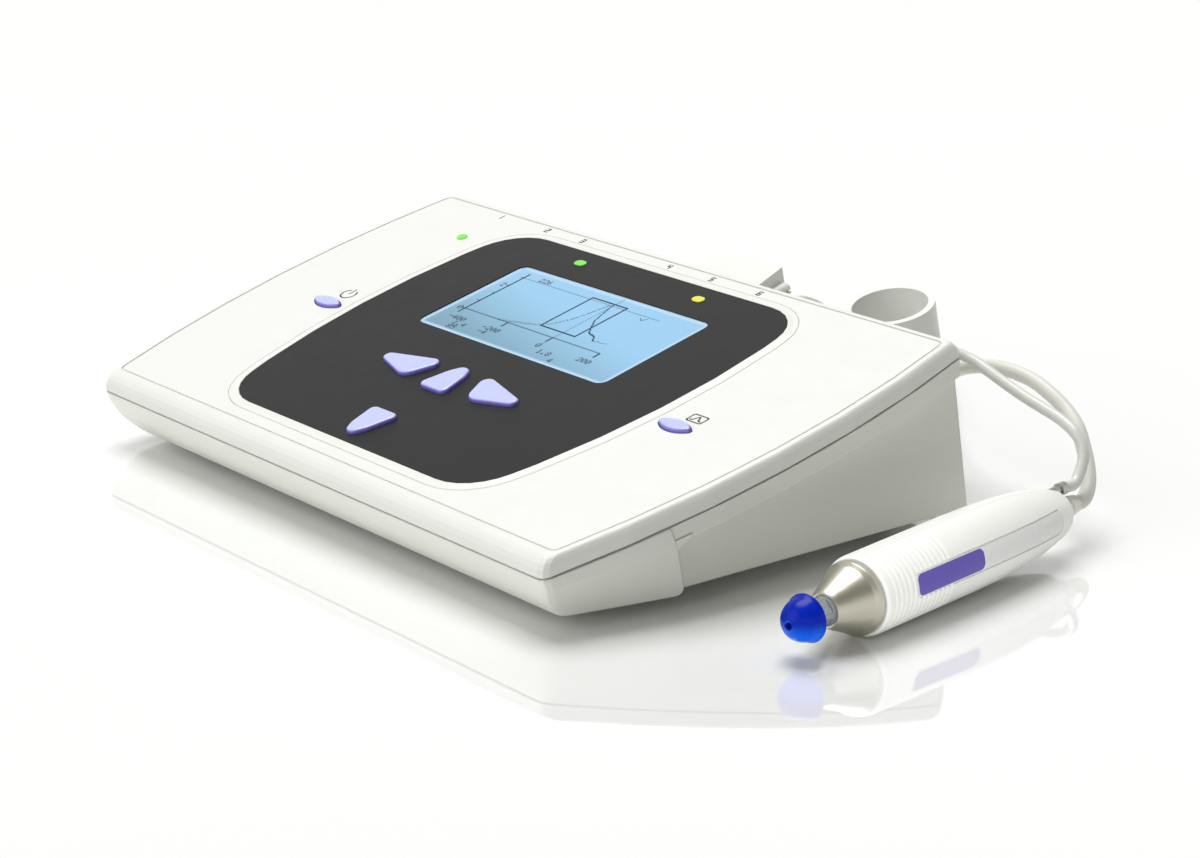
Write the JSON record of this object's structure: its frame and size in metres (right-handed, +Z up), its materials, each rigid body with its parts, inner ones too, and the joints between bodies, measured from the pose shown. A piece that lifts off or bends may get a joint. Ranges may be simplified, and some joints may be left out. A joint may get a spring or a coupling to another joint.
{
  "type": "tympanometer",
  "caption": "Desktop tympanometer: wedge-shaped console with screen and key panel, rear sockets and probe holder, and a hand-held probe on a cable and air tube.",
  "frame": {"origin": "on the floor under the middle of the console and the probe handle together, the cords left out", "axes": "+X to the right of the console, +Y to its rear, +Z up"},
  "size_m": [0.3203, 0.2866, 0.067],
  "materials": {
    "case_white": "satin",
    "case_grey": "satin",
    "film_white": "semi-gloss",
    "film_dark": "fine satin",
    "window": "gloss",
    "key_blue": "satin",
    "light_green": "gloss",
    "light_yellow": "gloss",
    "board_green": "solder mask",
    "black_plastic": "satin",
    "ribbon": "film",
    "steel": "zinc plated",
    "bright_metal": "nickel plated",
    "cone_metal": "satin anodised",
    "dark_metal": "dark",
    "rubber_grey": "matt",
    "rubber_black": "matt",
    "label_silver": "satin film",
    "motor_grey": "satin",
    "acetal": "satin",
    "valve_blue": "satin",
    "silicone": "translucent",
    "cable_grey": "satin",
    "tube_clear": "semi-gloss",
    "tip_clear": "clear polycarbonate",
    "tip_blue": "translucent",
    "label_violet": "printed film"
  },
  "bodies": {
    "console_and_probe": {"lower_case": "case_grey", "top_cover": "case_white", "top_film": "film_white", "panel_film": "film_dark", "screen_window": "window", "screen_module": "steel", "screen_ribbon": "ribbon", "main_board": "board_green", "key_switches": "black_plastic", "left_indicator": "light_green", "right_indicator": "light_yellow", "power_indicator": "light_green", "case_screws": "steel", "board_screws": "steel", "rubber_feet": "rubber_grey", "rating_label": "label_silver", "socket_board": "board_green", "power_socket": "black_plastic", "usb_socket": "steel", "printer_socket": "black_plastic", "probe_socket": "steel", "contra_socket": "black_plastic", "air_fitting": "bright_metal", "pump_bracket": "steel", "pump_motor": "motor_grey", "pump_cylinder": "acetal", "pump_hose": "silicone", "air_manifold": "acetal", "relief_valve": "valve_blue", "outlet_hose": "silicone", "probe_holder": "case_white", "plug_hood": "case_white", "plug_boot": "cable_grey", "probe_cable": "cable_grey", "cable_coil": "cable_grey", "air_tube": "tube_clear", "air_coil": "tube_clear", "coil_ties": "rubber_black", "handle_left_shell": "case_white", "handle_right_shell": "case_white", "cone_gasket": "rubber_black", "probe_tip": "tip_clear", "probe_coupler": "motor_grey", "probe_board": "board_green", "air_barb": "dark_metal", "handle_boot": "cable_grey", "handle_label": "label_violet"},
    "left_key": {"left_key": "key_blue"},
    "right_key": {"right_key": "key_blue"},
    "up_key": {"up_key": "key_blue"},
    "down_key": {"down_key": "key_blue"},
    "power_key": {"power_key": "key_blue"},
    "display_key": {"display_key": "key_blue"},
    "pump_screw": {"pump_screw": "steel"},
    "pump_piston": {"pump_piston": "acetal"},
    "ear_tip": {"ear_tip": "tip_blue"},
    "nose_cone": {"nose_cone": "cone_metal"},
    "left_jackscrew": {"left_jackscrew": "acetal"},
    "right_jackscrew": {"right_jackscrew": "acetal"},
    "air_connector": {"air_connector": "acetal"}
  },
  "joints": [
    {"name": "left_key_press", "type": "slide", "parent": "console_and_probe", "child": "left_key", "axis": [0, 0.2419, -0.9703], "range_m": [0, 0.0008], "stiffness_N_per_m": 500},
    {"name": "right_key_press", "type": "slide", "parent": "console_and_probe", "child": "right_key", "axis": [0, 0.2419, -0.9703], "range_m": [0, 0.0008], "stiffness_N_per_m": 500},
    {"name": "up_key_press", "type": "slide", "parent": "console_and_probe", "child": "up_key", "axis": [0, 0.2419, -0.9703], "range_m": [0, 0.0008], "stiffness_N_per_m": 500},
    {"name": "down_key_press", "type": "slide", "parent": "console_and_probe", "child": "down_key", "axis": [0, 0.2419, -0.9703], "range_m": [0, 0.0008], "stiffness_N_per_m": 500},
    {"name": "power_key_press", "type": "slide", "parent": "console_and_probe", "child": "power_key", "axis": [0, 0.2419, -0.9703], "range_m": [0, 0.0008], "stiffness_N_per_m": 500},
    {"name": "display_key_press", "type": "slide", "parent": "console_and_probe", "child": "display_key", "axis": [0, 0.2419, -0.9703], "range_m": [0, 0.0008], "stiffness_N_per_m": 500},
    {"name": "pump_screw_turn", "type": "hinge", "parent": "console_and_probe", "child": "pump_screw", "pos_m": [-0.0812, 0.003, 0.0235], "axis": [1, 0, 0], "range_deg": [0, 840]},
    {"name": "pump_piston_slide", "type": "slide", "parent": "console_and_probe", "child": "pump_piston", "axis": [1, 0, 0], "range_m": [0, 0.014]},
    {"name": "ear_tip_pull", "type": "slide", "parent": "console_and_probe", "child": "ear_tip", "axis": [0.1045, -0.9944, -0.0175], "range_m": [0, 0.012]},
    {"name": "nose_cone_unscrew", "type": "hinge", "parent": "console_and_probe", "child": "nose_cone", "pos_m": [0.1481, -0.0278, 0.01246], "axis": [-0.1045, 0.9944, 0.0175], "range_deg": [0, 720]},
    {"name": "left_jackscrew_turn", "type": "hinge", "parent": "console_and_probe", "child": "left_jackscrew", "pos_m": [-0.0417, 0.07728, 0.04799], "axis": [0, 0.9703, 0.2419], "range_deg": [0, 1440]},
    {"name": "right_jackscrew_turn", "type": "hinge", "parent": "console_and_probe", "child": "right_jackscrew", "pos_m": [-0.0087, 0.07728, 0.04799], "axis": [0, 0.9703, 0.2419], "range_deg": [0, 1440]},
    {"name": "air_connector_turn", "type": "hinge", "parent": "console_and_probe", "child": "air_connector", "pos_m": [0.0004, 0.06952, 0.04606], "axis": [0, 0.9703, 0.2419], "range_deg": [0, 90]}
  ],
  "couplings": [
    {"joint": "pump_screw_turn", "follows": "pump_piston_slide", "rad_per_m": 1047.2}
  ]
}
